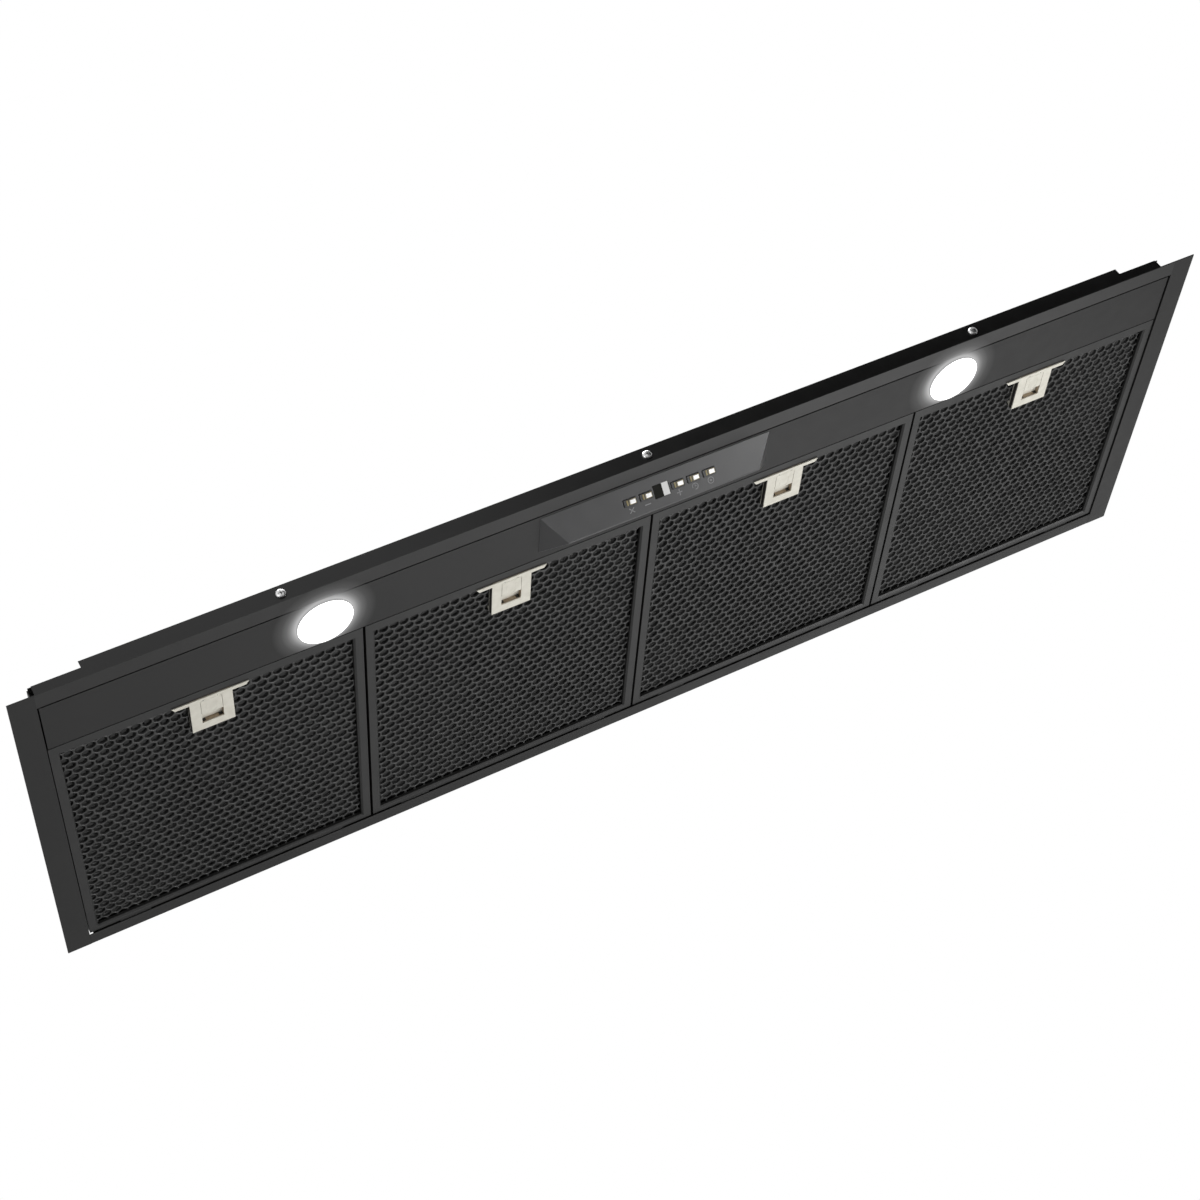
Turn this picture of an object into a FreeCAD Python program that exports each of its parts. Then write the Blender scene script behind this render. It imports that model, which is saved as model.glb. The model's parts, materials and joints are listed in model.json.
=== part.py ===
import FreeCAD, Part
import os
import re

# Undermount range hood, seen from below: flanged mouth, light bar with lamps and a control pod,
# four hinged grease filters, and a plenum above with a blower, a duct collar and a junction box.
# Frame: +X along the front edge to the right, +Y to the rear, +Z up.
# The origin is the centre of the flange's upper face, which seats against the cabinet.

FILTER_COUNT = 4
BLADE_COUNT = 28
SIDES = (("left", -1), ("right", 1))
SHEET = ("-sheet_gauge", "0")
SCREW_PLACES = ("-screw_offset", "0", "screw_offset")
# Keys stand in whole steps to the left and right of the display.
BUTTON_STEPS = {"power": -2, "minus": -1, "plus": 1, "timer": 2, "light": 3}
BUTTON_PLACES = {name: "%d * button_pitch" % step for name, step in BUTTON_STEPS.items()}

SIZES = {
    # mouth and its folded rails
    "hood_length": 1200,
    "hood_depth": 390,
    "sheet_gauge": 1.0,
    "front_flange": 17,
    "rear_flange": 11.7,
    "side_flange": 23,
    "rim_height": 21.5,
    "step_rise": 7,
    "step_inset": 46,
    "corner_relief": 3,
    "rear_notch": 4,
    "seam_gap": 0.2,
    "fixing_hole_radius": 2.5,
    "fixing_hole_spacing": 200,
    "fixing_hole_height": 11,
    # shared clearances
    "fit_gap": 0.3,
    "running_gap": 0.05,
    "cut_overrun": 5,
    # light bar
    "bar_gauge": 0.8,
    "bar_depth": 59.7,
    "bar_front_lip": 26,
    "bar_rear_lip": 18,
    "bar_end_gap": 1.4,
    "bar_groove": 3,
    "groove_depth": 2.5,
    "wire_window_length": 60,
    "wire_window_depth": 14,
    # screws through the front upstand
    "screw_offset": 355,
    "screw_height": 19,
    "screw_shank_radius": 1.95,
    "screw_hole_gap": 0.15,
    "screw_length": 9,
    "screw_head_radius": 4.7,
    "screw_crown_radius": 3.0,
    "screw_head_height": 2.6,
    # lamps
    "lamp_offset": 325,
    "lamp_setback": 47,
    "bezel_radius": 27,
    "bezel_height": 2.4,
    "lens_radius": 26,
    "lens_thickness": 1.3,
    "lens_recess": 0.2,
    "lamp_body_radius": 24,
    "lamp_body_height": 14,
    "lamp_wall": 2,
    "lock_ring_width": 1.7,
    "lock_ring_height": 4,
    "driver_length": 90,
    "driver_depth": 30,
    "driver_height": 20,
    "driver_offset": 180,
    # control pod
    "pod_setback": 4.7,
    "pod_top_half": 118,
    "pod_low_half": 98.5,
    "pod_face_run": 22.7,
    "pod_rear_run": 22.3,
    "pod_edge": 1.2,
    "pod_drop": 19.4,
    "pod_wall": 2,
    "button_pitch": 16.3,
    "button_length": 12.5,
    "button_width": 6.4,
    "button_proud": 1.5,
    "button_lip": 0.8,
    "button_stem": 4.5,
    "button_travel": 1.2,
    "button_gap": 0.3,
    "keys_from_top": 15,
    "display_length": 16,
    "display_width": 12,
    "display_lip": 0.5,
    "display_back": 1.2,
    "board_end": 11.9,
    "board_width": 13,
    "board_gauge": 1.2,
    "board_shift": 3,
    "post_width": 6,
    # filters
    "filter_gap": 2.5,
    "filter_side_gap": 1,
    "filter_front_gap": 1.5,
    "filter_rear_gap": 1.1,
    "filter_low": 0.5,
    "filter_height": 10,
    "frame_side_bar": 9,
    "frame_front_bar": 12,
    "frame_rear_bar": 6.5,
    "frame_bevel": 1.6,
    "mesh_recess": 4.2,
    "mesh_gauge": 1.6,
    "mesh_grip": 3,
    "mesh_gap": 0.2,
    "ledge_reach": 3.4,
    "ledge_height": 12,
    "tab_length": 30,
    "tab_reach": 1.8,
    "tab_gauge": 1.5,
    "tab_inset": 45,
    # latches
    "latch_bar_length": 70.6,
    "latch_bar_depth": 4,
    "latch_bar_overhang": 1.2,
    "latch_bar_slant": 2.8,
    "latch_proud": 1.4,
    "latch_body_length": 39.4,
    "latch_body_depth": 40.4,
    "latch_body_height": 8.3,
    "latch_floor": 1.5,
    "latch_skin": 1.5,
    "slider_length": 19.4,
    "slider_block_depth": 18.3,
    "slider_travel": 5,
    "slider_lip": 1.5,
    "slider_wall": 2,
    "finger_depth": 11.6,
    "tongue_length": 14,
    "tongue_gauge": 2.5,
    "tongue_drop": 3.4,
    # plenum
    "plenum_gauge": 0.8,
    "plenum_foot": 13,
    "plenum_inset": 16,
    "roof_margin": 26.6,
    # blower
    "scroll_radius": 60,
    "scroll_wall": 1.5,
    "scroll_foot_gap": 6,
    "scroll_roof_gap": 2.5,
    "scroll_half_width": 55,
    "scroll_plate_gauge": 1.2,
    "impeller_side_gap": 13,
    "impeller_tip_gap": 3.1,
    "impeller_shift": 7,
    "blade_depth": 9,
    "blade_gauge": 1,
    "impeller_ring_width": 3,
    "impeller_ring_gauge": 2,
    "hub_gauge": 2,
    "hub_radius": 11,
    "hub_half_length": 12,
    "shaft_radius": 4,
    "shaft_end": 30,
    "motor_radius": 36,
    "motor_length": 60,
    "motor_gap": 10,
    "motor_bore_depth": 24,
    "clamp_wall": 3,
    "clamp_length": 14,
    "hanger_width": 34,
    "hanger_gauge": 4,
    "hanger_foot_length": 40,
    "hanger_foot_gauge": 1.5,
    "capacitor_radius": 14,
    "capacitor_length": 60,
    "capacitor_offset": 150,
    "capacitor_setback": 130,
    "capacitor_foot_gauge": 2,
    # duct collar and its flaps
    "collar_radius": 75,
    "collar_wall": 1.2,
    "collar_height": 35,
    "collar_base_width": 7,
    "collar_base_gauge": 1.2,
    "collar_rear_gap": 7.3,
    "flap_height": 9,
    "flap_gauge": 1.2,
    "flap_edge_gap": 1,
    "flap_inner_gap": 5,
    "stop_width": 5,
    "stop_gauge": 1.2,
    "flap_pin_radius": 2,
    "knuckle_radius": 4,
    "knuckle_length": 14,
    "front_knuckle_offset": 52,
    "rear_knuckle_offset": 30,
    # junction box
    "junction_offset": 280,
    "junction_setback": 110,
    "junction_length": 100,
    "junction_depth": 70,
    "junction_height": 30,
    "junction_wall": 2,
    "junction_lid_gauge": 2,
    "boss_radius": 4,
    "boss_inset": 7,
    "lid_screw_radius": 1.5,
    "lid_screw_head_radius": 3,
    "lid_screw_head_height": 1.8,
    "lid_screw_length": 14,
    "terminal_length": 50,
    "terminal_depth": 18,
    "terminal_height": 14,
    "gland_radius": 9,
    "gland_bore_radius": 4.5,
    "gland_thread_radius": 7.5,
    "gland_length": 16,
    "gland_inside": 8,
}

# Places worked out from the sizes, as sums that the document keeps bound to the sheet.
DERIVED = {
    "half_length": "hood_length / 2",
    "half_depth": "hood_depth / 2",
    "mouth_half": "half_length - side_flange",
    "mouth_front": "front_flange - half_depth",
    "mouth_rear": "half_depth - rear_flange",
    "step_half": "mouth_half - step_inset",
    "step_top": "rim_height + step_rise",
    "bar_front": "mouth_front + fit_gap",
    "bar_rear": "bar_front + bar_depth",
    "bar_edge": "mouth_front + bar_groove",
    "lamp_y": "lamp_setback - half_depth",
    "screw_hole_radius": "screw_shank_radius + screw_hole_gap",
    "pod_front": "bar_front + pod_setback",
    "pod_low_front": "pod_front + pod_face_run",
    "pod_low_rear": "pod_low_front + pod_edge",
    "pod_rear": "pod_low_rear + pod_rear_run",
    "pod_end_run": "pod_top_half - pod_low_half",
    "pod_floor": "pod_wall * 3 / 2",
    "pod_hollow": "pod_drop - pod_floor",
    "pod_front_inset": "pod_wall * sqrt(pod_face_run ^ 2 + pod_drop ^ 2) / pod_drop",
    "pod_rear_inset": "pod_wall * sqrt(pod_rear_run ^ 2 + pod_drop ^ 2) / pod_drop",
    "pod_end_inset": "pod_wall * sqrt(pod_end_run ^ 2 + pod_drop ^ 2) / pod_drop",
    "button_slot_half": "button_length / 2 + button_gap",
    "button_slot_reach": "button_width / 2 + button_gap",
    "board_half": "button_pitch * 5 / 2 + button_slot_half + button_lip + board_end",
    "board_depth": "button_stem + button_travel + button_gap",
    "ledge_edge": "mouth_rear - ledge_reach",
    "filter_front": "bar_rear + filter_front_gap",
    "filter_rear": "ledge_edge - filter_rear_gap",
    "filter_room": "2 * (mouth_half - filter_side_gap) - %d * filter_gap" % (FILTER_COUNT - 1),
    "filter_half": "filter_room / %d" % (2 * FILTER_COUNT),
    "filter_pitch": "2 * filter_half + filter_gap",
    "filter_top": "filter_low + filter_height",
    "frame_half": "filter_half - frame_side_bar",
    "frame_front": "filter_front + frame_front_bar",
    "frame_rear": "filter_rear - frame_rear_bar",
    "mesh_low": "filter_low + mesh_recess",
    "mesh_top": "mesh_low + mesh_gauge",
    "latch_low": "filter_low - latch_proud",
    "latch_top": "latch_low + latch_body_height",
    "latch_rear": "frame_front + latch_body_depth",
    "latch_bar_rear": "frame_front + latch_bar_overhang",
    "latch_bar_front": "latch_bar_rear - latch_bar_depth",
    "slider_block_front": "latch_bar_rear + fit_gap",
    "slider_block_rear": "slider_block_front + slider_block_depth",
    "finger_rear": "slider_block_rear + finger_depth",
    "slider_rear": "finger_rear + slider_wall",
    "slider_top": "latch_top - latch_floor - fit_gap",
    "lip_low": "slider_top - slider_lip",
    "skin_top": "latch_low + latch_skin",
    "tongue_low": "latch_low + tongue_drop",
    "tongue_top": "tongue_low + tongue_gauge",
    "tongue_tip": "bar_rear + fit_gap",
    "foot_front": "bar_front + bar_gauge + fit_gap",
    "foot_rear": "foot_front + plenum_gauge",
    "scroll_height": "filter_top + scroll_foot_gap + scroll_wall + scroll_radius",
    "plenum_top_height": "scroll_height + scroll_radius + scroll_wall + scroll_roof_gap",
    "slope_top_front": "collar_y - collar_radius - collar_base_width - roof_margin",
    "slope_run": "slope_top_front - foot_front",
    "slope_rise": "plenum_top_height - step_top",
    "slope_gauge": "plenum_gauge * sqrt((slope_run) ^ 2 + (slope_rise) ^ 2) / (slope_rise)",
    "plenum_rear": "mouth_rear - plenum_gauge",
    "plenum_half": "step_half - plenum_inset",
    "plenum_end": "plenum_half - plenum_gauge",
    "roof_top": "plenum_top_height + plenum_gauge",
    "collar_y": "mouth_rear - collar_radius - collar_base_width - collar_rear_gap",
    "collar_inner": "collar_radius - collar_wall",
    "collar_top": "roof_top + collar_height",
    "flap_z": "roof_top + flap_height",
    "flap_radius": "collar_inner - flap_edge_gap",
    "impeller_radius": "scroll_radius - impeller_shift * sqrt(2) - impeller_tip_gap",
    "impeller_half_width": "scroll_half_width - impeller_side_gap",
    "inlet_radius": "impeller_radius - blade_depth",
    "impeller_y": "collar_y - impeller_shift",
    "impeller_z": "scroll_height - impeller_shift",
    "plate_outer": "scroll_half_width + scroll_plate_gauge",
    "motor_right": "-(plate_outer + motor_gap)",
    "motor_left": "motor_right - motor_length",
    "clamp_radius": "motor_radius + running_gap",
    "clamp_x": "(motor_left + motor_right) / 2",
    "junction_low": "roof_top",
    "junction_top": "junction_low + junction_height",
    "junction_x": "-junction_offset",
    "junction_y": "half_depth - junction_setback",
    "junction_half": "junction_length / 2",
    "junction_reach": "junction_depth / 2",
    "gland_z": "junction_low + junction_height / 2",
    "capacitor_y": "half_depth - capacitor_setback",
    "capacitor_z": "plenum_top_height - capacitor_foot_gauge - capacitor_radius",
}

WORD = re.compile("[a-z][a-z_]+")
AXIS_TURNS = {
    "x": (FreeCAD.Vector(0, 1, 0), 90),
    "y": (FreeCAD.Vector(1, 0, 0), -90),
    "z": (FreeCAD.Vector(0, 0, 1), 0),
}

doc = FreeCAD.newDocument("undermount_hood")
sheet = doc.addObject("Spreadsheet::Sheet", "Sizes")
nodes = []


def fill_sheet():
    """One row per driving dimension: its name, then its value with an alias."""
    for row, (name, value) in enumerate(SIZES.items(), start=1):
        sheet.set("A%d" % row, name)
        sheet.set("B%d" % row, str(value))
        sheet.setAlias("B%d" % row, name)
    doc.recompute()


def bound(text):
    """Write a sum of size names as an expression on the sheet."""
    def swap(match):
        word = match.group(0)
        if word in DERIVED:
            return "(" + bound(DERIVED[word]) + ")"
        if word in SIZES:
            return "Sizes." + word
        return word
    return WORD.sub(swap, text)


def bind(item, prop, text):
    item.setExpression(prop, bound(text))


def bind_place(item, x, y, z):
    for axis, text in zip("xyz", (x, y, z)):
        bind(item, "Placement.Base." + axis, text)


def around(centre, reach):
    """A low and high pair, the same reach to both sides of a centre."""
    return "(%s) - (%s)" % (centre, reach), "(%s) + (%s)" % (centre, reach)


def sided(side, near, far):
    """A low and high pair on the right (+1) or, mirrored, on the left (-1)."""
    if side > 0:
        return near, far
    return "-(%s)" % far, "-(%s)" % near


def box(x, y, z):
    """Block between three pairs of low and high places."""
    block = doc.addObject("Part::Box", "block")
    for prop, pair in zip(("Length", "Width", "Height"), (x, y, z)):
        bind(block, prop, "(%s) - (%s)" % (pair[1], pair[0]))
    bind_place(block, x[0], y[0], z[0])
    return block


def rod(axis, centre, radius, span):
    """Round bar along one axis, through a centre given on the two other axes in order."""
    bar = doc.addObject("Part::Cylinder", "rod")
    bar.Placement.Rotation = FreeCAD.Rotation(*AXIS_TURNS[axis])
    bind(bar, "Radius", radius)
    bind(bar, "Height", "(%s) - (%s)" % (span[1], span[0]))
    places = list(centre)
    places.insert("xyz".index(axis), span[0])
    bind_place(bar, *places)
    return bar


def taper(low, high, z):
    """Block whose low rectangle, an x and a y pair, runs straight to its high one."""
    wedge = doc.addObject("Part::Wedge", "taper")
    wedge.Placement.Rotation = FreeCAD.Rotation(FreeCAD.Vector(1, 0, 0), 90)
    bind(wedge, "Ymax", "(%s) - (%s)" % (z[1], z[0]))
    for (x, y), mark in ((low, ""), (high, "2")):
        bind(wedge, "X%smin" % mark, x[0])
        bind(wedge, "X%smax" % mark, x[1])
        bind(wedge, "Z%smin" % mark, "-(%s)" % y[1])
        bind(wedge, "Z%smax" % mark, "-(%s)" % y[0])
    bind(wedge, "Placement.Base.z", z[0])
    return wedge


def fuse(*shapes):
    joined = doc.addObject("Part::MultiFuse", "joined")
    joined.Shapes = list(shapes)
    joined.Refine = True
    return joined


def cut(base, *tools):
    trimmed = doc.addObject("Part::Cut", "trimmed")
    trimmed.Base = base
    trimmed.Tool = tools[0] if len(tools) == 1 else fuse(*tools)
    trimmed.Refine = True
    return trimmed


def group(*shapes):
    gathered = doc.addObject("Part::Compound", "gathered")
    gathered.Links = list(shapes)
    return gathered


def node(name, item):
    """Name a finished piece: the name is also its file's."""
    item.Label = name
    nodes.append(item)
    return item


def screw_tools(reach):
    """Holes along Y for the screws through the front upstand."""
    span = ("mouth_front - sheet_gauge - cut_overrun", reach)
    return [rod("y", (place, "screw_height"), "screw_hole_radius", span) for place in SCREW_PLACES]


def make_rails():
    """The mouth: four folded strips, each a flange and an upstand at its inner edge."""
    for name, side in SIDES:
        flange = box(sided(side, "mouth_half", "half_length"), around("0", "half_depth"), SHEET)
        wall = box(sided(side, "mouth_half", "mouth_half + sheet_gauge"),
                   ("mouth_front + corner_relief", "mouth_rear + sheet_gauge"),
                   ("-sheet_gauge", "rim_height"))
        bore = sided(side, "mouth_half - cut_overrun", "mouth_half + sheet_gauge + cut_overrun")
        holes = [rod("x", (place, "fixing_hole_height"), "fixing_hole_radius", bore)
                 for place in around("0", "fixing_hole_spacing / 2")]
        node(name + "_rail", cut(fuse(flange, wall), *holes))

    strip = around("0", "mouth_half")
    wall_x = around("0", "mouth_half - corner_relief")
    front = fuse(
        box(strip, ("-half_depth", "mouth_front"), SHEET),
        box(wall_x, ("mouth_front - sheet_gauge", "mouth_front"), ("-sheet_gauge", "rim_height")),
        box(around("0", "step_half"), ("mouth_front - sheet_gauge", "mouth_front"),
            ("-sheet_gauge", "step_top")))
    node("front_rail", cut(front, *screw_tools("mouth_front + cut_overrun")))
    # The rear upstand stops short of the left one and leaves the small opening seen there.
    rear_x = ("rear_notch - mouth_half", "mouth_half")
    node("rear_rail", fuse(
        box(strip, ("mouth_rear", "half_depth"), SHEET),
        box(rear_x, ("mouth_rear", "mouth_rear + sheet_gauge"), ("-sheet_gauge", "rim_height"))))
    node("rear_ledge", fuse(
        box(rear_x, ("mouth_rear - sheet_gauge", "mouth_rear"), ("-sheet_gauge", "ledge_height")),
        box(strip, ("ledge_edge", "mouth_rear"), SHEET)))


def make_light_bar():
    """Panel behind the front flange, with an upturned lip at its rear and a stepped one at its front."""
    length = around("0", "mouth_half - bar_end_gap")
    lip = around("0", "plenum_end - corner_relief")
    lip_low = "groove_depth + bar_gauge"
    panel = fuse(
        box(length, ("bar_edge", "bar_rear"), ("0", "bar_gauge")),
        box(length, ("bar_rear - bar_gauge", "bar_rear"), ("0", "bar_rear_lip")),
        box(length, ("bar_edge", "bar_edge + bar_gauge"), ("0", lip_low)),
        box(lip, ("bar_front", "bar_edge + bar_gauge"), ("groove_depth", lip_low)),
        box(lip, ("bar_front", "bar_front + bar_gauge"), ("groove_depth", "bar_front_lip")))
    through = around("0", "cut_overrun")
    lamp_holes = [rod("z", (place, "lamp_y"), "lamp_body_radius + fit_gap", through)
                  for place in around("0", "lamp_offset")]
    window = box(around("0", "wire_window_length / 2"),
                 around("(pod_front + pod_rear) / 2", "wire_window_depth / 2"), through)
    screws = screw_tools("bar_front + cut_overrun")
    node("light_bar", cut(panel, window, *lamp_holes, *screws))


def make_front_screws():
    """Pan-head screws through the front upstand, the light bar's lip and the plenum's foot."""
    screws = []
    for place in SCREW_PLACES:
        shank = rod("y", (place, "screw_height"), "screw_shank_radius",
                    ("mouth_front - sheet_gauge", "mouth_front - sheet_gauge + screw_length"))
        head = doc.addObject("Part::Cone", "head")
        head.Placement.Rotation = FreeCAD.Rotation(FreeCAD.Vector(1, 0, 0), 90)
        bind(head, "Radius1", "screw_head_radius")
        bind(head, "Radius2", "screw_crown_radius")
        bind(head, "Height", "screw_head_height")
        bind_place(head, place, "mouth_front - sheet_gauge", "screw_height")
        screws.append(fuse(shank, head))
    node("front_screws", group(*screws))


def make_lamps():
    """Two round lamps: a bezel and cup from below, its lens, and a lock ring above the panel."""
    lens_low = "lens_recess - bezel_height"
    lens_top = lens_low + " + lens_thickness"
    ring_radius = "lamp_body_radius + running_gap"
    rings = []
    for name, side in SIDES:
        centre = ("%d * lamp_offset" % side, "lamp_y")
        shell = fuse(rod("z", centre, "bezel_radius", ("-bezel_height", "0")),
                     rod("z", centre, "lamp_body_radius", ("-bezel_height", "lamp_body_height")))
        seat = rod("z", centre, "lens_radius + running_gap", ("-bezel_height - cut_overrun", lens_top))
        hollow = rod("z", centre, "lamp_body_radius - lamp_wall",
                     ("-bezel_height", "lamp_body_height - lamp_wall"))
        node("lamp_body_" + name, cut(shell, seat, hollow))
        node("lamp_lens_" + name, rod("z", centre, "lens_radius", (lens_low, lens_top)))
        height = ("bar_gauge", "bar_gauge + lock_ring_height")
        rings.append(cut(rod("z", centre, ring_radius + " + lock_ring_width", height),
                         rod("z", centre, ring_radius, height)))
    node("lamp_lock_rings", group(*rings))
    node("lamp_driver", box(around("-driver_offset", "driver_length / 2"),
                            around("lamp_y", "driver_depth / 2"),
                            ("bar_gauge", "bar_gauge + driver_height")))


def on_face(item):
    """Carry a piece drawn flat (x, distance down the face, depth behind it) onto the pod's face."""
    item.Placement.Rotation = FreeCAD.Rotation(FreeCAD.Vector(-1, 0, 0), 45)
    bind(item, "Placement.Rotation.Angle", "atan(pod_drop / pod_face_run)")
    bind(item, "Placement.Base.y", "pod_front")
    return item


def make_control_pod():
    """Hollow wedge under the light bar, its front face tilted towards the cook."""
    top = (around("0", "pod_top_half"), ("pod_front", "pod_rear"))
    low = (around("0", "pod_low_half"), ("pod_low_front", "pod_low_rear"))
    outer = taper(low, top, ("-pod_drop", "0"))
    hollow_top = (around("0", "pod_top_half - pod_end_inset"),
                  ("pod_front + pod_front_inset", "pod_rear - pod_rear_inset"))
    hollow_low = (around("0", "pod_top_half - pod_end_inset - pod_hollow * pod_end_run / pod_drop"),
                  ("pod_front + pod_front_inset + pod_hollow * pod_face_run / pod_drop",
                   "pod_rear - pod_rear_inset - pod_hollow * pod_rear_run / pod_drop"))
    shell = cut(outer, taper(hollow_low, hollow_top, ("-pod_hollow", "0")))

    board_centre = ("button_pitch / 2", "keys_from_top + board_shift")
    posts = [box(around(place, "post_width / 2"), around(board_centre[1], "post_width / 2"),
                 ("pod_wall / 2", "board_depth"))
             for place in around(board_centre[0], "board_half - post_width")]
    slots = [box(around(place, "button_slot_half"), around("keys_from_top", "button_slot_reach"),
                 ("-cut_overrun", "pod_wall + button_gap"))
             for place in BUTTON_PLACES.values()]
    slots.append(box(around("0", "display_length / 2 + seam_gap"),
                     around("keys_from_top", "display_width / 2 + seam_gap"),
                     ("-cut_overrun", "pod_wall + button_gap")))
    node("control_pod", cut(fuse(shell, on_face(fuse(*posts))), on_face(fuse(*slots))))

    lip = ("pod_wall + button_gap", "pod_wall + button_gap + button_lip")
    for name, place in BUTTON_PLACES.items():
        cap = box(around(place, "button_length / 2"), around("keys_from_top", "button_width / 2"),
                  ("-button_proud", "button_stem"))
        collar = box(around(place, "button_slot_half + button_lip"),
                     around("keys_from_top", "button_slot_reach + button_lip"), lip)
        node("button_" + name, on_face(fuse(cap, collar)))
    pane = box(around("0", "display_length / 2"), around("keys_from_top", "display_width / 2"),
               ("0", "pod_wall"))
    backing = box(around("0", "display_length / 2 + display_lip"),
                  around("keys_from_top", "display_width / 2 + display_lip"),
                  ("pod_wall", "pod_wall + display_back"))
    node("display_window", on_face(fuse(pane, backing)))
    board = box(around(board_centre[0], "board_half"), around(board_centre[1], "board_width / 2"),
                ("board_depth", "board_depth + board_gauge"))
    node("control_board", on_face(group(board)))


def make_filter(number):
    """Framed mesh that hangs on the rear ledge, with a sprung latch at its front edge."""
    centre = "(%s) * filter_pitch" % (number - (FILTER_COUNT + 1) / 2)
    opening = (around(centre, "frame_half"), ("frame_front", "frame_rear"))
    bevel = (around(centre, "frame_half + frame_bevel"),
             ("frame_front - frame_bevel", "frame_rear + frame_bevel"))
    frame = [box(around(centre, "filter_half"), ("filter_front", "filter_rear"),
                 ("filter_low", "filter_top"))]
    for place in around(centre, "filter_half - tab_inset"):
        frame.append(box(around(place, "tab_length / 2"), ("filter_rear", "ledge_edge + tab_reach"),
                         ("fit_gap", "fit_gap + tab_gauge")))
    passage = box(*opening, ("filter_low - cut_overrun", "filter_top + cut_overrun"))
    chamfer = taper(bevel, opening, ("filter_low", "filter_low + frame_bevel"))
    groove = box(around(centre, "frame_half + mesh_grip + mesh_gap"),
                 ("frame_front - mesh_grip - mesh_gap", "frame_rear + mesh_grip + mesh_gap"),
                 ("mesh_low", "mesh_top"))
    notch = box(around(centre, "tongue_length / 2 + fit_gap"),
                ("filter_front - cut_overrun", "frame_front + cut_overrun"),
                ("tongue_low - fit_gap", "tongue_top + fit_gap"))
    node("filter_frame_%d" % number, cut(fuse(*frame), passage, chamfer, groove, notch))

    mesh = box(around(centre, "frame_half + mesh_grip"),
               ("frame_front - mesh_grip", "frame_rear + mesh_grip"), ("mesh_low", "mesh_top"))
    latch_hole = box(around(centre, "latch_body_length / 2 + mesh_gap"),
                     ("frame_front - cut_overrun", "latch_rear + mesh_gap"),
                     ("mesh_low - cut_overrun", "mesh_top + cut_overrun"))
    node("filter_mesh_%d" % number, cut(mesh, latch_hole))
    make_latch(number, centre)


def make_latch(number, centre):
    """T-shaped latch plate on the filter, and the slider that a fingertip pulls to the rear."""
    front_half = "latch_bar_length / 2"
    cross_bar = doc.addObject("Part::Wedge", "cross_bar")
    for mark, half in (("", front_half), ("2", front_half + " - latch_bar_slant")):
        low, high = around(centre, half)
        bind(cross_bar, "X%smin" % mark, low)
        bind(cross_bar, "X%smax" % mark, high)
        bind(cross_bar, "Z%smin" % mark, "0")
        bind(cross_bar, "Z%smax" % mark, "filter_low - latch_low")
    bind(cross_bar, "Ymax", "latch_bar_depth")
    bind_place(cross_bar, "0", "latch_bar_front", "latch_low")
    body = box(around(centre, "latch_body_length / 2"), ("frame_front", "latch_rear"),
               ("latch_low", "latch_top"))
    channel_x = around(centre, "slider_length / 2 + fit_gap")
    run = ("frame_front", "slider_rear + slider_travel + fit_gap")
    window = box(channel_x, ("latch_bar_rear", "finger_rear"), ("latch_low - cut_overrun", "skin_top"))
    pocket = box(channel_x, run, ("skin_top", "slider_top + fit_gap"))
    groove = box(around(centre, "slider_length / 2 + slider_lip + fit_gap"), run,
                 ("lip_low - fit_gap", "slider_top + fit_gap"))
    node("latch_plate_%d" % number, cut(fuse(cross_bar, body), window, pocket, groove))

    slider_x = around(centre, "slider_length / 2")
    block = box(slider_x, ("slider_block_front", "slider_block_rear"), ("latch_low", "slider_top"))
    lips = box(around(centre, "slider_length / 2 + slider_lip"), ("slider_block_front", "slider_rear"),
               ("lip_low", "slider_top"))
    wall = box(slider_x, ("finger_rear", "slider_rear"), ("skin_top + fit_gap", "slider_top"))
    tongue = box(around(centre, "tongue_length / 2"), ("tongue_tip", "slider_block_rear"),
                 ("tongue_low", "tongue_top"))
    node("latch_slider_%d" % number, fuse(block, lips, wall, tongue))


def make_plenum():
    """Sheet-metal chamber above the filters: sloped front, roof, rear, and two shouldered ends."""
    front_x = around("0", "plenum_end - fit_gap")
    foot = box(front_x, ("foot_front", "foot_rear"), ("plenum_foot", "step_top"))
    slope = taper((front_x, ("foot_front", "foot_front + slope_gauge")),
                  (front_x, ("slope_top_front", "slope_top_front + slope_gauge")),
                  ("step_top", "plenum_top_height"))
    node("plenum_front", cut(fuse(foot, slope), *screw_tools("foot_rear + cut_overrun")))

    roof = ("plenum_top_height", "roof_top")
    outlet = rod("z", ("0", "collar_y"), "collar_inner",
                 ("plenum_top_height - cut_overrun", "roof_top + cut_overrun"))
    cover = box(around("0", "plenum_half"), ("slope_top_front", "mouth_rear"), roof)
    node("plenum_top", cut(cover, outlet))
    node("plenum_rear", box(around("0", "plenum_end"), ("plenum_rear", "mouth_rear"),
                            ("ledge_height + fit_gap", "plenum_top_height")))
    shoulder_z = ("rim_height - plenum_gauge", "rim_height")
    for name, side in SIDES:
        sheet_x = sided(side, "plenum_end", "plenum_half")
        depth = ("foot_front", "plenum_rear")
        node("end_panel_" + name, fuse(
            box(sided(side, "plenum_end", "mouth_half"), ("mouth_front", "mouth_rear"), shoulder_z),
            box(sheet_x, depth, ("rim_height - plenum_gauge", "step_top")),
            taper((sheet_x, depth), (sheet_x, ("slope_top_front", "plenum_rear")),
                  ("step_top", "plenum_top_height"))))


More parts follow.
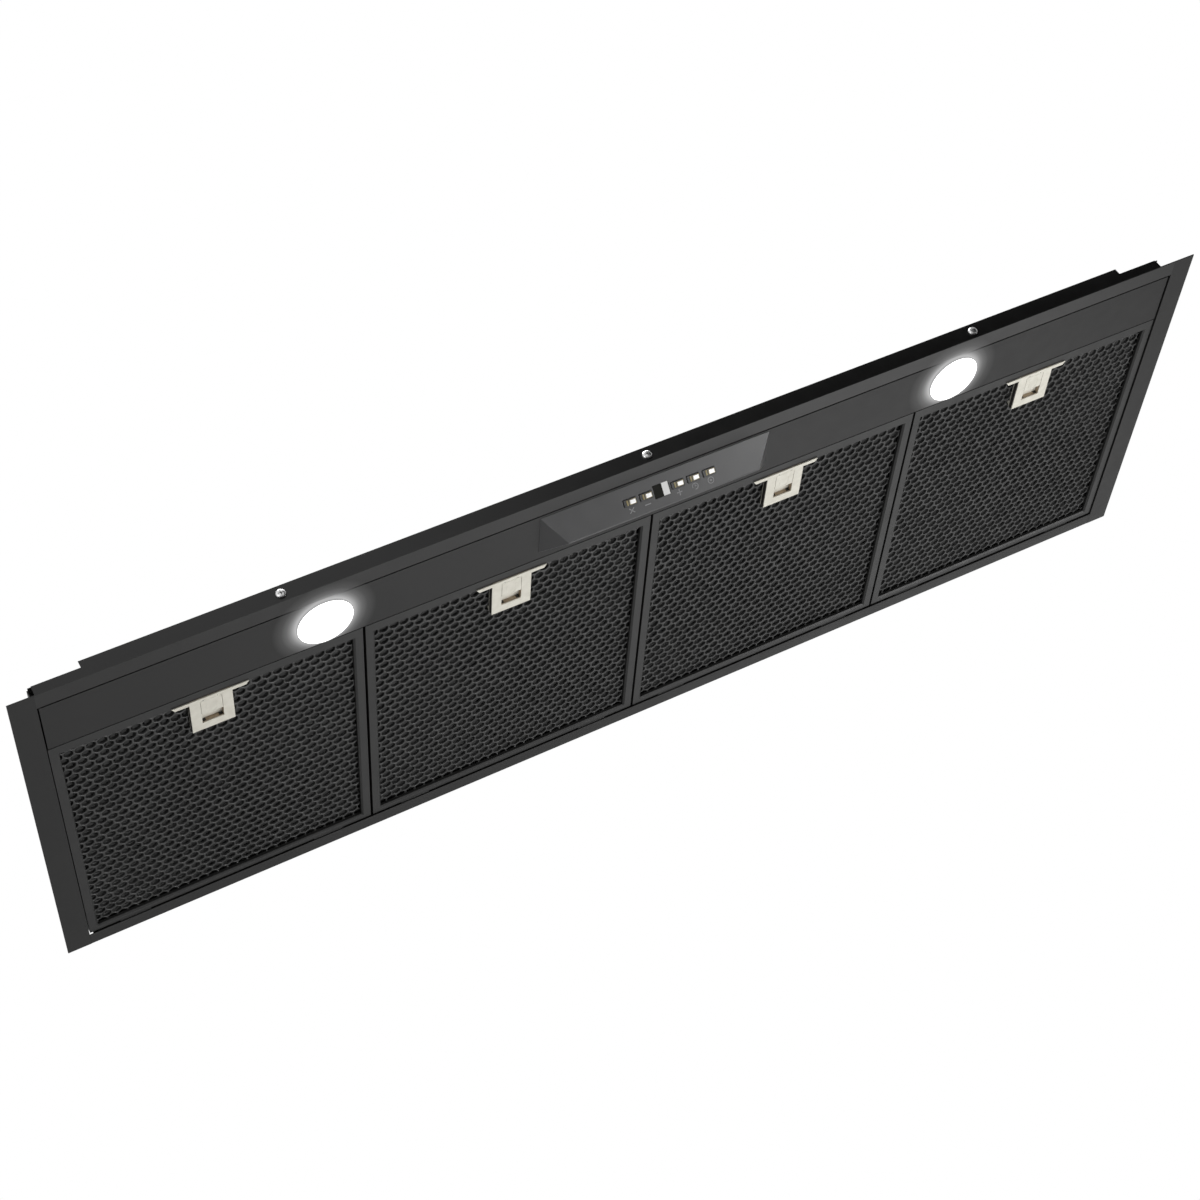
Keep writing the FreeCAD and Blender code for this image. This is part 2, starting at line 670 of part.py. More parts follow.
def make_scroll():
    """Blower casing: a round wrap with a throat up to the roof, between two plates with inlets."""
    centre = ("collar_y", "scroll_height")
    outside = "scroll_radius + scroll_wall"
    throat_y = ("collar_y - scroll_wall", "collar_y + " + outside)
    throat_z = ("scroll_height", "plenum_top_height")

    def casing(x):
        return fuse(rod("x", centre, outside, x), box(x, throat_y, throat_z))

    inside_x = around("0", "scroll_half_width + cut_overrun")
    hollow = rod("x", centre, "scroll_radius", inside_x)
    throat = box(inside_x, ("collar_y", "collar_y + scroll_radius"),
                 ("scroll_height", "plenum_top_height + cut_overrun"))
    node("scroll_wrap", cut(casing(around("0", "scroll_half_width")), hollow, throat))
    for name, side in SIDES:
        inlet = rod("x", ("impeller_y", "impeller_z"), "inlet_radius",
                    sided(side, "scroll_half_width - cut_overrun", "plate_outer + cut_overrun"))
        plate = casing(sided(side, "scroll_half_width", "plate_outer"))
        node("scroll_plate_" + name, cut(plate, inlet))


def make_impeller():
    """Blade drum on a central disc, drawn about the X axis and carried to the blower's axis."""
    middle = ("0", "0")
    width = around("0", "impeller_half_width")
    blades = []
    for step in range(BLADE_COUNT):
        blade = box(width, around("0", "blade_gauge / 2"),
                    ("impeller_radius - blade_depth", "impeller_radius"))
        spoke = doc.addObject("Part::Compound", "spoke")
        spoke.Links = [blade]
        spoke.Placement.Rotation = FreeCAD.Rotation(FreeCAD.Vector(1, 0, 0), 360 * step / BLADE_COUNT)
        blades.append(spoke)
    rings = []
    for _, side in SIDES:
        ring_x = sided(side, "impeller_half_width - impeller_ring_gauge", "impeller_half_width")
        rings.append(cut(rod("x", middle, "impeller_radius", ring_x),
                         rod("x", middle, "impeller_radius - impeller_ring_width", ring_x)))
    disc = rod("x", middle, "impeller_radius - blade_depth / 2", around("0", "hub_gauge / 2"))
    boss = rod("x", middle, "hub_radius", around("0", "hub_half_length"))
    bore = rod("x", middle, "shaft_radius", around("0", "hub_half_length + cut_overrun"))
    drum = node("impeller", cut(fuse(disc, boss, *rings, *blades), bore))
    bind_place(drum, "0", "impeller_y", "impeller_z")


def make_motor():
    """Motor to the left of the scroll in a clamp that hangs from the roof, and its shaft."""
    axis = ("impeller_y", "impeller_z")
    node("motor_shaft", rod("x", axis, "shaft_radius", ("motor_right - motor_bore_depth", "shaft_end")))
    bearing = rod("x", axis, "shaft_radius + running_gap",
                  ("motor_right - motor_bore_depth - fit_gap", "motor_right + cut_overrun"))
    node("motor", cut(rod("x", axis, "motor_radius", ("motor_left", "motor_right")), bearing))

    width = around("impeller_y", "hanger_width / 2")
    clamp_x = around("clamp_x", "clamp_length / 2")
    hanger = fuse(
        rod("x", axis, "clamp_radius + clamp_wall", clamp_x),
        box(around("clamp_x", "hanger_gauge / 2"), width, ("impeller_z", "plenum_top_height")),
        box(around("clamp_x", "hanger_foot_length / 2"), width,
            ("plenum_top_height - hanger_foot_gauge", "plenum_top_height")))
    node("motor_bracket", cut(hanger, rod("x", axis, "clamp_radius", clamp_x)))
    length = ("capacitor_offset", "capacitor_offset + capacitor_length")
    node("run_capacitor", fuse(
        rod("x", ("capacitor_y", "capacitor_z"), "capacitor_radius", length),
        box(length, around("capacitor_y", "capacitor_radius / 2"), ("capacitor_z", "plenum_top_height"))))


def make_collar():
    """Duct collar on the roof: a short tube on a base ring, with a stop ring inside for the flaps."""
    centre = ("0", "collar_y")
    ring_z = ("roof_top", "roof_top + collar_base_gauge")
    node("collar_flange", cut(rod("z", centre, "collar_radius + collar_base_width", ring_z),
                              rod("z", centre, "collar_inner", ring_z)))
    tube_z = ("roof_top + collar_base_gauge", "collar_top")
    tube = cut(rod("z", centre, "collar_radius", tube_z), rod("z", centre, "collar_inner", tube_z))
    stop_top = "flap_z - flap_gauge / 2 - fit_gap"
    stop_z = (stop_top + " - stop_gauge", stop_top)
    stop = cut(rod("z", centre, "collar_inner + collar_wall / 2", stop_z),
               rod("z", centre, "collar_inner - stop_width", stop_z))
    pin_x = around("0", "collar_inner - seam_gap")
    axis = ("collar_y", "flap_z")
    notch = rod("x", axis, "flap_pin_radius + running_gap", pin_x)
    node("duct_collar", cut(fuse(tube, stop), notch))
    node("flap_pin", rod("x", axis, "flap_pin_radius", pin_x))
    bore = rod("x", axis, "flap_pin_radius + running_gap", pin_x)
    leaf_z = around("flap_z", "flap_gauge / 2")
    for name, side in (("front", -1), ("rear", 1)):
        disc = rod("z", centre, "flap_radius", leaf_z)
        if side < 0:
            other_half = ("collar_y - flap_inner_gap", "collar_y + collar_radius")
            link_y = ("collar_y - flap_inner_gap - knuckle_radius", "collar_y")
        else:
            other_half = ("collar_y - collar_radius", "collar_y + flap_inner_gap")
            link_y = ("collar_y", "collar_y + flap_inner_gap + knuckle_radius")
        leaf = cut(disc, box(around("0", "collar_radius"), other_half, leaf_z))
        pieces = [leaf]
        for place in around("0", name + "_knuckle_offset"):
            span = around(place, "knuckle_length / 2")
            pieces.append(rod("x", axis, "knuckle_radius", span))
            pieces.append(box(span, link_y, leaf_z))
        node("damper_flap_" + name, cut(fuse(*pieces), bore))


def make_junction_box():
    """Mains connection on the roof: box, lid, lid screws, terminal block and cable gland."""
    x = around("junction_x", "junction_half")
    y = around("junction_y", "junction_reach")
    shell = cut(box(x, y, ("junction_low", "junction_top")),
                box(around("junction_x", "junction_half - junction_wall"),
                    around("junction_y", "junction_reach - junction_wall"),
                    ("junction_low + junction_wall", "junction_top + cut_overrun")))
    lid_top = "junction_top + junction_lid_gauge"
    corners = [(corner_x, corner_y)
               for corner_x in around("junction_x", "junction_half - boss_inset")
               for corner_y in around("junction_y", "junction_reach - boss_inset")]
    bosses = [rod("z", corner, "boss_radius", ("junction_low", "junction_top")) for corner in corners]
    screw_foot = lid_top + " - lid_screw_length"
    holes = [rod("z", corner, "lid_screw_radius + running_gap", (screw_foot, lid_top + " + cut_overrun"))
             for corner in corners]
    wall_x = "junction_x - junction_half"
    entry = rod("x", ("junction_y", "gland_z"), "gland_thread_radius + running_gap",
                around(wall_x, "junction_wall + cut_overrun"))
    node("junction_box", cut(fuse(shell, *bosses), entry, *holes))
    node("junction_lid", cut(box(x, y, ("junction_top", lid_top)), *holes))
    screws = [fuse(rod("z", corner, "lid_screw_radius", (screw_foot, lid_top)),
                   rod("z", corner, "lid_screw_head_radius", (lid_top, lid_top + " + lid_screw_head_height")))
              for corner in corners]
    node("lid_screws", group(*screws))
    node("terminal_block", box(
        around("junction_x", "terminal_length / 2"), around("junction_y", "terminal_depth / 2"),
        ("junction_low + junction_wall", "junction_low + junction_wall + terminal_height")))
    gland_axis = ("junction_y", "gland_z")
    inner_end = wall_x + " + junction_wall + gland_inside"
    outer_end = wall_x + " - gland_length"
    gland = fuse(rod("x", gland_axis, "gland_radius", (outer_end, wall_x)),
                 rod("x", gland_axis, "gland_thread_radius", (wall_x, inner_end)))
    node("cable_gland", cut(gland, rod("x", gland_axis, "gland_bore_radius", (outer_end, inner_end))))


def check_document():
    """Stop if any object failed, or any piece is empty or not valid."""
    failed = [item.Name for item in doc.Objects if {"Invalid", "Error"} & set(item.State)]
    failed += [item.Label for item in nodes if item.Shape.isNull() or not item.Shape.isValid()]
    if failed:
        raise RuntimeError("not built: " + ", ".join(failed))


def write_parts():
    os.makedirs("parts", exist_ok=True)
    for item in nodes:
        item.Shape.exportStep("parts/%s.step" % item.Label)
        print("%-18s %d solids, %.1f mm3" % (item.Label, len(item.Shape.Solids), item.Shape.Volume))


fill_sheet()
make_rails()
make_light_bar()
make_front_screws()
make_lamps()
make_control_pod()
for filter_number in range(1, FILTER_COUNT + 1):
    make_filter(filter_number)
make_plenum()
make_scroll()
make_impeller()
make_motor()
make_collar()
make_junction_box()
doc.recompute()
check_document()
write_parts()
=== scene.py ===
import json
import math
import random

import bmesh
import bpy
from mathutils import Matrix, Quaternion, Vector


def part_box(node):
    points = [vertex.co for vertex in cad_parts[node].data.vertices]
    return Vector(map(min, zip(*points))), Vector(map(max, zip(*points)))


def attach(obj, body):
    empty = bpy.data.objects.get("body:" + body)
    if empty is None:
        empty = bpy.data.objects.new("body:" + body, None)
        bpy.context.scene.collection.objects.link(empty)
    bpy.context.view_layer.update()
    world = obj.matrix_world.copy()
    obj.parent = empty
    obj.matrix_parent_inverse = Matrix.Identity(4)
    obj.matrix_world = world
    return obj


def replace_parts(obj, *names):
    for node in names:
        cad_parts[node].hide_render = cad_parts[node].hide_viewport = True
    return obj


# Undermount range hood, seen from below: black sheet metal, honeycomb grease filters, cream latches,
# chrome keys on a wedge-shaped pod, lit lamps. All lengths are in metres, in the frame of the solids.

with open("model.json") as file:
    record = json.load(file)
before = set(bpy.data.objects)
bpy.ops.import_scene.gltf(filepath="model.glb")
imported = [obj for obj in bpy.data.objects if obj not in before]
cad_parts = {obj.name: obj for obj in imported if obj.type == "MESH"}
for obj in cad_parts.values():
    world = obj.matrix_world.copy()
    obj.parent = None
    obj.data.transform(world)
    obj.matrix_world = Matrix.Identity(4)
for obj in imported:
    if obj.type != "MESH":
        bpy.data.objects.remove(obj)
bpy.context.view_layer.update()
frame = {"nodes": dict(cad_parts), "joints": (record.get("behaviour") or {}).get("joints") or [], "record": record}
nodes = frame["nodes"]
joints = {joint["name"]: joint for joint in frame["joints"]}

MM = 0.001
FILTERS = (1, 2, 3, 4)
KEYS = ("power", "minus", "plus", "timer", "light")

# softened edges, by slot, and the solids that stay sharp: chamber sheets whose seams have to stay shut,
# the front rail and the side rails with their holes
BEVELS = {"black_paint": 0.35 * MM, "filter_black": 0.5 * MM, "latch_cream": 0.35 * MM,
          "pod_plastic": 0.4 * MM, "driver_plastic": 0.6 * MM}
BEVEL_ANGLE = math.radians(35)
SHARP_NODES = ("plenum_", "end_panel_", "front_rail", "left_rail", "right_rail")
MERGE_REACH = 0.002 * MM

# camera
CAMERA_PLACE = Vector((-0.77813, -1.70228, -1.12906))
CAMERA_HEADING = math.radians(23.44142)
CAMERA_RISE = math.radians(31.62623)
CAMERA_ROLL = math.radians(-34.64799)
CAMERA_LENS = 69.1101
CAMERA_SENSOR = 36

# stage
FLOOR_HEIGHT = -2.6
FLOOR_REACH = 30
FLOOR_GLOW = 0.3
WORLD_LIGHT = 0.08
CARD_Y = -1.35
CARD_X = (0.4, 5)
CARD_Z = (-0.5, 3)

# studio lamps: name, place, aim, size and power
STUDIO_LAMPS = (
    ("under_box", (0.2, 0.3, -1.4), (0.1, 0, 0), (1.0, 1.2), 11),
    ("left_box", (-0.6, 0.3, -1.4), (-0.2, 0, 0), (1.0, 1.2), 3.8),
    ("rear_box", (1.6, 2.1, -1.45), (0.25, 0, 0), (1.3, 1.2), 4.4),
    ("pod_box", (1.15, -0.72, -1.1), (0.05, -0.16, 0), (0.6, 0.7), 13),
    ("front_box", (-1.6, -1.2, -0.2), (-0.4, -0.17, 0), (0.8, 0.8), 6),
    ("top_box", (0.3, 0.4, 2.2), (0, 0.1, 0.1), (2.0, 1.4), 90),
)

# range that a noise value mostly keeps to
NOISE_LOW = 0.3
NOISE_HIGH = 0.7

# honeycomb of the filters
CELL_PITCH = 10 * MM
CELL_ROW = CELL_PITCH * math.sqrt(3) / 2
CELL_SIDES = 12
CELL_CORNER_SHARE = 1 / math.cos(math.pi / 6)
CELL_HOLE = 8.7 * MM
CELL_SPREAD = (0.94, 1.06)
CELL_WANDER = 0.25 * MM
CELL_DEPTH = 2.3 * MM
FLOOR_HOLE = 3.6 * MM
FLOOR_WANDER = 1.1 * MM
FLOOR_SHIFT = (2.4 * MM, 3.2 * MM)
FLOOR_GAUGE = 1 * MM
BACK_GAUGE = 0.4 * MM
MESH_TILTS = (-0.6, 0.5, -0.4, 0.7)
MESH_GRIP = 3 * MM
BORDER_GAP = 0.1 * MM
LATCH_HALF = 19.9 * MM
LATCH_GAP = 0.2 * MM
LATCH_EASE = 0.5 * MM

# its sheets: levels, hole, wander and shift of the holes. The levels run from the middle of a strand's face,
# over its edge and down the hole, as share of the web, height and material
COAT, WALL, FLOOR, DEPTH = range(4)
CUPS = (((1, 0, COAT), (0.45, 0.05 * MM, COAT), (0.12, 0.3 * MM, COAT), (0, 0.8 * MM, WALL),
         (0, CELL_DEPTH, WALL)), CELL_HOLE, CELL_WANDER, (0, 0))
FLOORS = (((1, 0.25 * MM, FLOOR), (0.5, 0, FLOOR), (0, 0.4 * MM, FLOOR), (0, FLOOR_GAUGE, FLOOR)),
          FLOOR_HOLE, FLOOR_WANDER, FLOOR_SHIFT)
CRESTS = (((1, 1 * MM, COAT), (0.45, 0.95 * MM, COAT), (0.12, 0.7 * MM, COAT), (0, 0, WALL)),
          CELL_HOLE, CELL_WANDER, (0, 0))

# latches: marks on their faces, and the ramps that paint shade on the walls of the finger well and on the outer
# walls
# the dimples are dark discs: painted shade
DIMPLES = (-7 * MM, 6 * MM)
DIMPLE_SETBACK = 3 * MM
DIMPLE_PROFILE = [(0, -0.06 * MM), (0.45 * MM, -0.05 * MM), (0.6 * MM, 0.1 * MM), (0, 0.1 * MM)]
ARCH_SETBACK = 10 * MM
ARCH_LEG = 8 * MM
ARCH_RADIUS = 4.5 * MM
ARCH_WIDTH = 0.9 * MM
ARCH_PROUD = 0.12 * MM
ARCH_GAUGE = 0.3 * MM
WELL_HEIGHTS = (-2 * MM, 8 * MM)
WELL_SHADE_STOPS = ((0.14, 0.0), (0.25, 1.0), (0.59, 1.0), (0.607, 0.0))
OUTSIDE_SHADOW_STOPS = ((0.225, 1.0), (0.235, 0.0), (0.765, 0.0), (0.775, 1.0))

# keys on the pod, along the pod's own axes
KEY_DOWN = 15 * MM
KEY_HALF = 6.25 * MM
KEY_REACH = 3.2 * MM
KEY_PROUD = 1.5 * MM
KEY_STEP = 0.7 * MM
KEY_STEM = 4.5 * MM
KEY_COLLAR_LOW = (-7.3 * MM, -4.2 * MM, 2.35 * MM)
KEY_COLLAR_HIGH = (7.3 * MM, 4.2 * MM, 3.05 * MM)
KEY_EDGE = 0.25 * MM
KEY_ROOT = 0.3 * MM

# what stands on a key: left and right end, half width, sink below the key's front and material
# the first row, the bright pad, is cut to the size of the chrome's highlight: a painted highlight
KEY_DRESS = ((-0.2 * MM, 5.4 * MM, 1.9 * MM, 0, 1), (-0.9 * MM, 6.1 * MM, 2.5 * MM, 0.5 * MM, 2),
             (-3.5 * MM, -1.9 * MM, 2.5 * MM, 0.3 * MM, 2))

# signs below the keys
SYMBOL_DOWN = 22.9 * MM
STROKE = 0.9 * MM
FINE_STROKE = 0.8 * MM
HAND_STROKE = 0.7 * MM
INK_PROUD = 0.06 * MM
INK_ROOT = 0.1 * MM
CROSS_LENGTH = 6.6 * MM
CROSS_TURN = 43
BAR_LENGTH = 6 * MM
PLUS_WIDTH = 5.4 * MM
CLOCK_RADIUS = 2.8 * MM
CLOCK_START = math.radians(160)
CLOCK_SWEEP = math.radians(300)
CLOCK_HANDS = ((0.6 * MM, 0, 2 * MM, 0), (0, -0.8 * MM, 2.2 * MM, 90))
LIGHT_RADIUS = 2.85 * MM
LIGHT_DOT = 0.6 * MM

# painted glow of the lit lamps, laid as emission on the sheet around them: distance from a lamp's middle, and
# brightness there
HALO_START = 27 * MM
HALO_END = 49 * MM
HALO_FLATNESS = 5
HALO_UPWARD = 0.5
HALO_LEVEL = 0
HALO_STOPS = ((0, 0.46), (0.14, 0.27), (0.23, 0.18), (0.36, 0.1), (0.6, 0.036), (1, 0))

# screws: head radius, head height, shank radius and shank length
FRONT_SCREW = (4.7 * MM, 2.6 * MM, 1.95 * MM, 9 * MM)
LID_SCREW = (3 * MM, 1.8 * MM, 1.5 * MM, 14 * MM)

# rivets of the roof
RIVET_DOME = [(0, 1.1 * MM), (1.3 * MM, 0.95 * MM), (2.2 * MM, 0.5 * MM), (2.5 * MM, -0.1 * MM)]
RIVET_INSET = 8 * MM
RIVET_REAR_INSET = 4 * MM
RIVET_COUNT = 10


def centre_of(node):
    low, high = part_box(node)
    return (low + high) / 2


def new_material(name, colour, roughness, metallic=0.0, specular=0.5):
    """Material with its shader's plain values set; returns it, its node tree and its shader."""
    mat = bpy.data.materials.new(name)
    mat.use_nodes = True
    tree = mat.node_tree
    shader = tree.nodes["Principled BSDF"]
    shader.inputs["Base Color"].default_value = (*colour, 1)
    shader.inputs["Roughness"].default_value = roughness
    shader.inputs["Metallic"].default_value = metallic
    shader.inputs["Specular IOR Level"].default_value = specular
    return mat, tree, shader


def add_noise(tree, scale, stretch=(1, 1, 1)):
    """Noise in the object's own coordinates, in cycles per metre."""
    place = tree.nodes.new("ShaderNodeTexCoord")
    mapping = tree.nodes.new("ShaderNodeMapping")
    mapping.inputs["Scale"].default_value = stretch
    noise = tree.nodes.new("ShaderNodeTexNoise")
    noise.inputs["Scale"].default_value = scale
    tree.links.new(place.outputs["Object"], mapping.inputs["Vector"])
    tree.links.new(mapping.outputs["Vector"], noise.inputs["Vector"])
    return noise.outputs["Fac"]


def spread(tree, value, low, high):
    """Carry a noise value onto a range."""
    mapped = tree.nodes.new("ShaderNodeMapRange")
    mapped.inputs["From Min"].default_value = NOISE_LOW
    mapped.inputs["From Max"].default_value = NOISE_HIGH
    mapped.inputs["To Min"].default_value = low
    mapped.inputs["To Max"].default_value = high
    tree.links.new(value, mapped.inputs["Value"])
    return mapped.outputs["Result"]


def add_bump(tree, shader, value, height, strength):
    """Fine relief of a given height."""
    bump = tree.nodes.new("ShaderNodeBump")
    bump.inputs["Distance"].default_value = height
    bump.inputs["Strength"].default_value = strength
    tree.links.new(value, bump.inputs["Height"])
    tree.links.new(bump.outputs["Normal"], shader.inputs["Normal"])


def set_stops(ramp, stops):
    """Fill a colour ramp from (position, grey or colour) pairs."""
    elements = ramp.color_ramp.elements
    while len(elements) < len(stops):
        elements.new(1)
    for element, (position, colour) in zip(elements, stops):
        element.position = position
        element.color = (*colour, 1) if isinstance(colour, tuple) else (colour, colour, colour, 1)


def blend_colours(tree, value, dark, light):
    """Colour that runs from dark to light with a noise value."""
    ramp = tree.nodes.new("ShaderNodeValToRGB")
    set_stops(ramp, ((NOISE_LOW, dark), (NOISE_HIGH, light)))
    tree.links.new(value, ramp.inputs["Fac"])
    return ramp.outputs["Color"]


def mix_colours(tree, share, first, second):
    """Second colour laid over the first by a share."""
    mix = tree.nodes.new("ShaderNodeMix")
    mix.data_type = "RGBA"
    tree.links.new(share, mix.inputs["Factor"])
    tree.links.new(first, mix.inputs["A"])
    tree.links.new(second, mix.inputs["B"])
    return mix.outputs["Result"]


def tint(tree, shader, value, dark, light):
    """Vary the base colour between two colours."""
    tree.links.new(blend_colours(tree, value, dark, light), shader.inputs["Base Color"])


def along_axis(tree, axis, low, high, space="Object"):
    """Share from 0 to 1 between two places along one axis of the object."""
    place = tree.nodes.new("ShaderNodeTexCoord")
    split = tree.nodes.new("ShaderNodeSeparateXYZ")
    share = tree.nodes.new("ShaderNodeMapRange")
    share.inputs["From Min"].default_value = low
    share.inputs["From Max"].default_value = high
    tree.links.new(place.outputs[space], split.inputs["Vector"])
    tree.links.new(split.outputs[axis], share.inputs["Value"])
    return share.outputs["Result"]


def painted_lamp_glow(tree, shader):
    """Painted glow of both lamps' light, laid as emission on the surface around them; the lamps stand at the same
    distance left and right of the middle. Faces that look up have none of it."""
    lamp = centre_of("lamp_lens_right")
    place = tree.nodes.new("ShaderNodeTexCoord")
    split = tree.nodes.new("ShaderNodeSeparateXYZ")
    aside = tree.nodes.new("ShaderNodeMath")
    aside.operation = "ABSOLUTE"
    joined = tree.nodes.new("ShaderNodeCombineXYZ")
    offset = tree.nodes.new("ShaderNodeMapping")
    offset.inputs["Location"].default_value = (-lamp.x, -lamp.y, 0)
    offset.inputs["Scale"].default_value = (1, 1, HALO_FLATNESS)
    distance = tree.nodes.new("ShaderNodeVectorMath")
    distance.operation = "LENGTH"
    share = tree.nodes.new("ShaderNodeMapRange")
    share.inputs["From Min"].default_value = HALO_START
    share.inputs["From Max"].default_value = HALO_END
    ramp = tree.nodes.new("ShaderNodeValToRGB")
    set_stops(ramp, HALO_STOPS)
    tree.links.new(place.outputs["Object"], split.inputs["Vector"])
    tree.links.new(split.outputs["X"], aside.inputs[0])
    tree.links.new(aside.outputs[0], joined.inputs["X"])
    tree.links.new(split.outputs["Y"], joined.inputs["Y"])
    tree.links.new(split.outputs["Z"], joined.inputs["Z"])
    tree.links.new(joined.outputs["Vector"], offset.inputs["Vector"])
    tree.links.new(offset.outputs["Vector"], distance.inputs[0])
    tree.links.new(distance.outputs["Value"], share.inputs["Value"])
    tree.links.new(share.outputs["Result"], ramp.inputs["Fac"])
    tree.links.new(ramp.outputs["Color"], shader.inputs["Emission Color"])
    facing = tree.nodes.new("ShaderNodeSeparateXYZ")
    downward = tree.nodes.new("ShaderNodeMapRange")
    downward.inputs["From Min"].default_value = HALO_UPWARD
    downward.inputs["From Max"].default_value = HALO_LEVEL
    tree.links.new(place.outputs["Normal"], facing.inputs["Vector"])
    tree.links.new(facing.outputs["Z"], downward.inputs["Value"])
    tree.links.new(downward.outputs["Result"], shader.inputs["Emission Strength"])


def powder_coat(name, roughness, specular):
    """Satin black coating on sheet steel, with a fine orange peel and a painted glow of the lamps' light around
    them.
    """
    mat, tree, shader = new_material(name, (0.013, 0.013, 0.013), roughness, specular=specular)
    tint(tree, shader, add_noise(tree, 9), (0.012, 0.012, 0.012), (0.0145, 0.0142, 0.014))
    uneven = spread(tree, add_noise(tree, 60), roughness - 0.02, roughness + 0.025)
    tree.links.new(uneven, shader.inputs["Roughness"])
    add_bump(tree, shader, add_noise(tree, 1400), 0.02 * MM, 0.6)
    # painted glow: emission on the sheet that stands in for the lamps' light
    painted_lamp_glow(tree, shader)
    return mat


def filter_coat():
    """Black coating on the filters' aluminium frames."""
    mat, tree, shader = new_material("filter_coat", (0.015, 0.015, 0.015), 0.4, specular=0.35)
    tint(tree, shader, add_noise(tree, 30), (0.013, 0.013, 0.013), (0.017, 0.017, 0.0165))
    tree.links.new(spread(tree, add_noise(tree, 45), 0.37, 0.44), shader.inputs["Roughness"])
    add_bump(tree, shader, add_noise(tree, 1100), 0.02 * MM, 0.5)
    return mat


def mesh_coat():
    """Coating on the honeycomb's first sheet, uneven from cell to cell."""
    mat, tree, shader = new_material("mesh_coat", (0.014, 0.014, 0.014), 0.38, specular=0.5)
    tint(tree, shader, add_noise(tree, 70), (0.01, 0.01, 0.01), (0.018, 0.018, 0.0175))
    tree.links.new(spread(tree, add_noise(tree, 120), 0.32, 0.44), shader.inputs["Roughness"])
    add_bump(tree, shader, add_noise(tree, 1600), 0.03 * MM, 0.6)
    return mat


def mesh_floor():
    """The second sheet, seen through the cells of the first."""
    mat, tree, shader = new_material("mesh_floor", (0.016, 0.016, 0.016), 0.45, specular=0.25)
    tint(tree, shader, add_noise(tree, 110), (0.01, 0.01, 0.01), (0.024, 0.024, 0.0235))
    add_bump(tree, shader, add_noise(tree, 700), 0.1 * MM, 0.7)
    return mat


def mesh_wall():
    """The cells' inner walls, painted lighter than the sheet's face to stand in for light that reaches into the
    cells.
    """
    mat, tree, shader = new_material("mesh_wall", (0.036, 0.036, 0.036), 0.5, specular=0.3)
    # painted light: lighter than the coated face so that the walls read brighter in their shade
    tint(tree, shader, add_noise(tree, 130), (0.027, 0.027, 0.027), (0.046, 0.046, 0.045))
    return mat


def mesh_depth():
    """The plain sheet deep in the filter, painted lighter than the coated sheets to stand in for the little light
    that reaches it.
    """
    mat, tree, shader = new_material("mesh_depth", (0.052, 0.052, 0.052), 0.55, specular=0.25)
    # painted light: lighter than the coated sheets in front of it
    tint(tree, shader, add_noise(tree, 90), (0.038, 0.038, 0.038), (0.07, 0.07, 0.068))
    return mat


def latch_plastic():
    """Cream moulded plastic, with painted shade: brown on the walls of the finger well and near black on the outer
    walls.
    """
    mat, tree, shader = new_material("latch_plastic", (0.62, 0.59, 0.5), 0.45, specular=0.4)
    cream = blend_colours(tree, add_noise(tree, 140), (0.565, 0.545, 0.475), (0.635, 0.615, 0.545))
    # painted shade: brown for the walls of the finger well
    painted_well_shade = blend_colours(tree, add_noise(tree, 200), (0.26, 0.19, 0.125), (0.38, 0.3, 0.21))
    height = tree.nodes.new("ShaderNodeValToRGB")
    set_stops(height, WELL_SHADE_STOPS)
    tree.links.new(along_axis(tree, "Z", *WELL_HEIGHTS), height.inputs["Fac"])
    width = tree.nodes.new("ShaderNodeValToRGB")
    set_stops(width, OUTSIDE_SHADOW_STOPS)
    tree.links.new(along_axis(tree, "X", 0, 1, "Generated"), width.inputs["Fac"])
    # painted shadow: near black for the outer walls
    dark = blend_colours(tree, add_noise(tree, 90), (0.02, 0.018, 0.016), (0.035, 0.032, 0.028))
    walls = mix_colours(tree, width.outputs["Color"], painted_well_shade, dark)
    mixed = mix_colours(tree, height.outputs["Color"], cream, walls)
    tree.links.new(mixed, shader.inputs["Base Color"])
    add_bump(tree, shader, add_noise(tree, 2200), 0.02 * MM, 0.5)
    return mat


def pod_plastic():
    """Satin dark plastic of the control pod."""
    mat, tree, shader = new_material("pod_plastic", (0.031, 0.031, 0.032), 0.36, specular=0.57)
    tint(tree, shader, add_noise(tree, 25), (0.028, 0.028, 0.029), (0.034, 0.034, 0.035))
    tree.links.new(spread(tree, add_noise(tree, 80), 0.33, 0.4), shader.inputs["Roughness"])
    add_bump(tree, shader, add_noise(tree, 2500), 0.015 * MM, 0.5)
    return mat


def plain_plastic(name, colour, roughness=0.5, grain=900):
    """Moulded plastic with a fine grain."""
    mat, tree, shader = new_material(name, colour, roughness)
    darker = tuple(0.88 * part for part in colour)
    tint(tree, shader, add_noise(tree, 40), darker, colour)
    add_bump(tree, shader, add_noise(tree, grain), 0.03 * MM, 0.5)
    return mat


def metal(name, colour, roughness, streak=(1, 1, 1)):
    """Bare metal whose roughness varies along its streaks."""
    mat, tree, shader = new_material(name, colour, roughness, metallic=1.0)
    darker = tuple(0.9 * part for part in colour)
    uneven = 0.06
    noise = add_noise(tree, 260, streak)
    tint(tree, shader, noise, darker, colour)
    tree.links.new(spread(tree, noise, roughness - uneven, roughness + uneven), shader.inputs["Roughness"])
    return mat


def galvanised():
    """Zinc-coated sheet with its spangle."""
    mat, tree, shader = new_material("galvanised", (0.56, 0.57, 0.58), 0.42, metallic=1.0)
    place = tree.nodes.new("ShaderNodeTexCoord")
    cells = tree.nodes.new("ShaderNodeTexVoronoi")
    cells.inputs["Scale"].default_value = 160
    tree.links.new(place.outputs["Object"], cells.inputs["Vector"])
    tint(tree, shader, cells.outputs["Distance"], (0.48, 0.49, 0.5), (0.62, 0.63, 0.64))
    return mat


